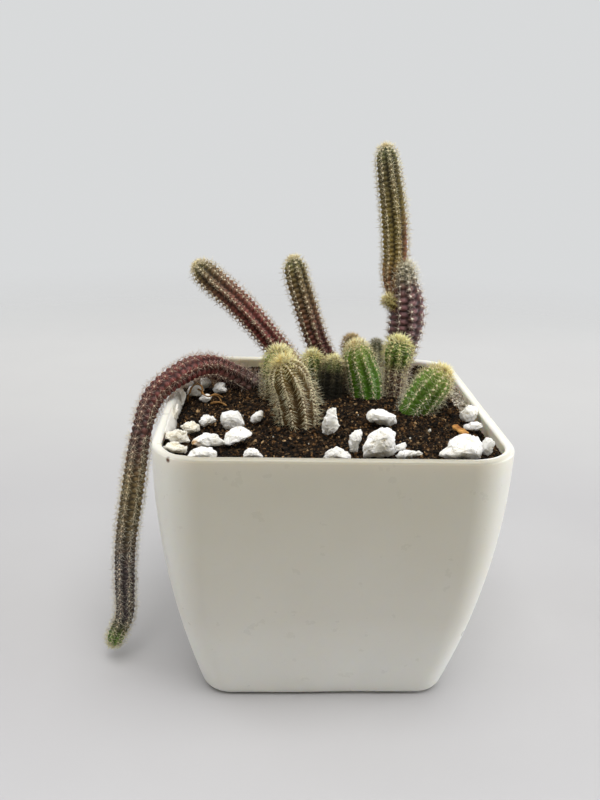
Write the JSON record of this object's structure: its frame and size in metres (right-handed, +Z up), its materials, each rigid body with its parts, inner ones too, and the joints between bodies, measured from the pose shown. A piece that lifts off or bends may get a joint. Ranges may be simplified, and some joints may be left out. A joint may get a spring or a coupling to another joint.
{
  "type": "potted cactus",
  "caption": "Square white pot with rounded corners and ribbed, spiny trailing cactus stems, one hanging over its rim, standing in dark soil with white pumice stones.",
  "frame": {"origin": "middle of the pot's flat underside", "axes": "+Z up, -Y towards the front of the pot, the trailing stem hangs on the -X side"},
  "size_m": [0.1431, 0.12, 0.195],
  "materials": {
    "pot": "gloss",
    "soil": "matte",
    "pumice": "matte",
    "bark": "matte",
    "flake": "matte",
    "fibre": "matte",
    "plum": "satin",
    "olive": "satin",
    "brown": "satin",
    "green": "satin",
    "grey_green": "satin"
  },
  "bodies": {
    "root": {"pot": "pot", "soil": "soil", "stem_trailing": "plum", "stem_leaning": "plum", "stem_back": "olive", "stem_tall": "brown", "stem_ball": "brown", "stem_dark": "grey_green", "stem_hairy": "brown", "stem_yellow": "green", "stem_small": "green", "stem_shaggy": "grey_green", "stem_green": "green", "stem_brown": "brown", "stem_right": "green", "pebble_01": "pumice", "pebble_02": "pumice", "pebble_03": "pumice", "pebble_04": "pumice", "pebble_05": "pumice", "pebble_06": "pumice", "pebble_07": "pumice", "pebble_08": "pumice", "pebble_09": "pumice", "pebble_10": "pumice", "pebble_11": "pumice", "pebble_12": "pumice", "pebble_13": "pumice", "pebble_14": "pumice", "pebble_15": "pumice", "pebble_16": "pumice", "pebble_17": "pumice", "pebble_18": "pumice", "pebble_19": "pumice", "pebble_20": "pumice", "pebble_21": "pumice", "pebble_22": "pumice", "pebble_23": "pumice", "pebble_24": "pumice", "pebble_25": "pumice", "pebble_26": "pumice", "chip": "bark", "flake": "flake", "peel": "flake", "fibre": "fibre"}
  },
  "joints": []
}
